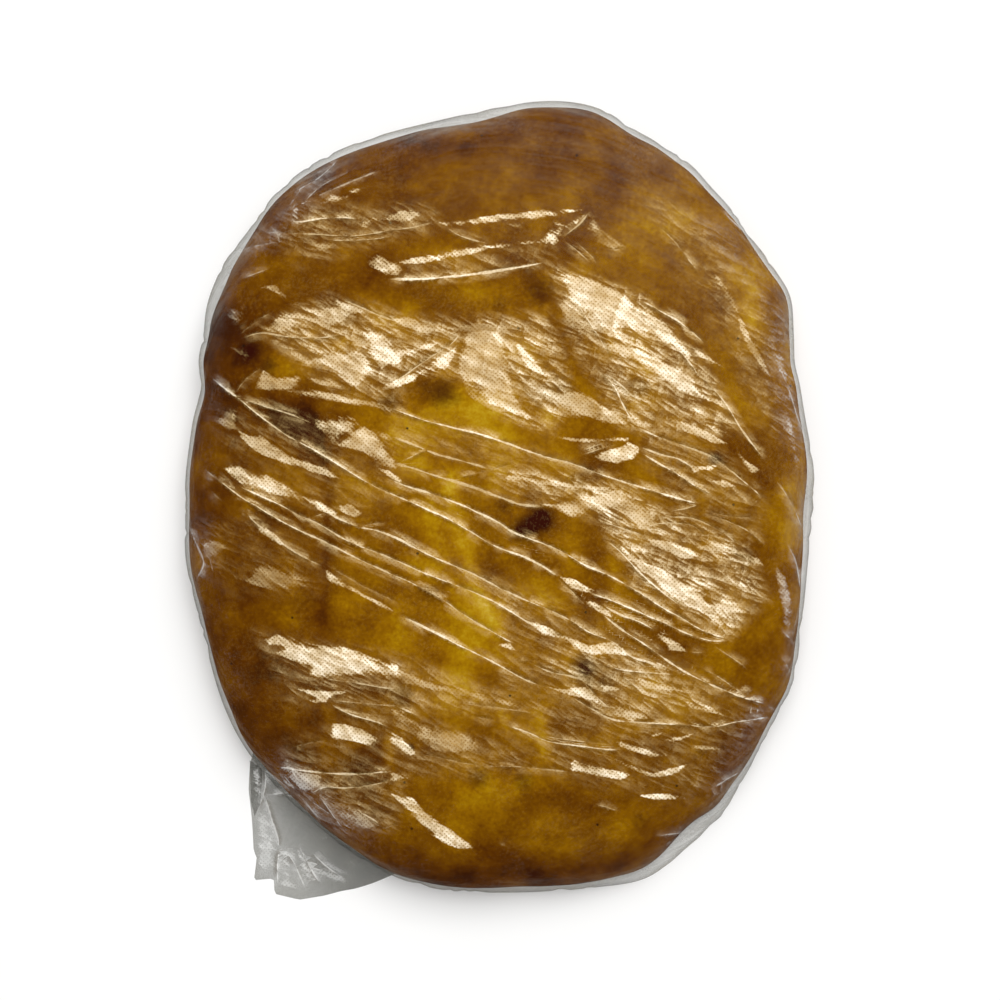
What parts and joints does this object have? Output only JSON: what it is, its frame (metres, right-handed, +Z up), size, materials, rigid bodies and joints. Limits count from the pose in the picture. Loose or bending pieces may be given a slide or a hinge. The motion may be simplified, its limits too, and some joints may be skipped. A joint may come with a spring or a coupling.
{
  "type": "lavash",
  "caption": "Thick oval leavened lavash with a browned, spotted crust, packed tight in a clear wrinkled film bag whose loose corner lies beside it.",
  "frame": {"origin": "under the middle of the bagged bread's box, on the surface it lies on", "axes": "+Z up through the baked side, +Y along the loaf towards the end away from the bag's loose corner, +X to the right seen from above"},
  "size_m": [0.2358, 0.3002, 0.0489],
  "materials": {
    "baked_crust": "satin",
    "clear_film": "gloss"
  },
  "bodies": {
    "root": {"bagged_lavash": "baked_crust"}
  },
  "joints": []
}
